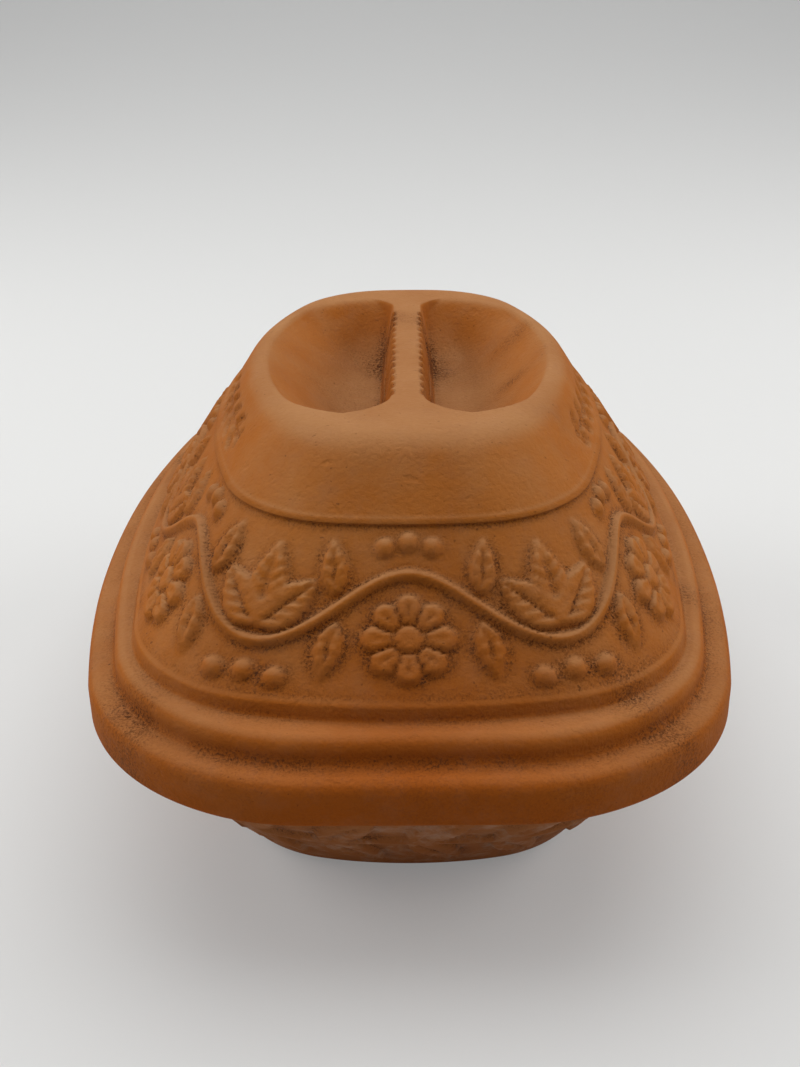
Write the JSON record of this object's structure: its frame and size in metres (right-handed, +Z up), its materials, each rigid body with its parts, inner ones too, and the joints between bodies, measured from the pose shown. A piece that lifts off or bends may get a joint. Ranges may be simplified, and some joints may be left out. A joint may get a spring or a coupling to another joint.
{
  "type": "clay baker",
  "caption": "Oblong unglazed terracotta baking pot: a flat-footed, flanged base and a domed lid with a raised-relief band and two finger scoops either side of a notched grip bar.",
  "frame": {"origin": "centre of the flat foot's underside", "axes": "+Z up, +Y along the pot's length, +X across it; the picture looks along +Y"},
  "size_m": [0.24, 0.34, 0.166],
  "materials": {
    "base_clay": "unglazed, dusty",
    "lid_clay": "unglazed, matte"
  },
  "bodies": {
    "base": {"base": "base_clay"},
    "lid": {"lid": "lid_clay"}
  },
  "joints": [
    {"name": "lid_lift", "type": "slide", "parent": "base", "child": "lid", "axis": [0, 0, 1], "range_m": [0, 0.25]}
  ]
}
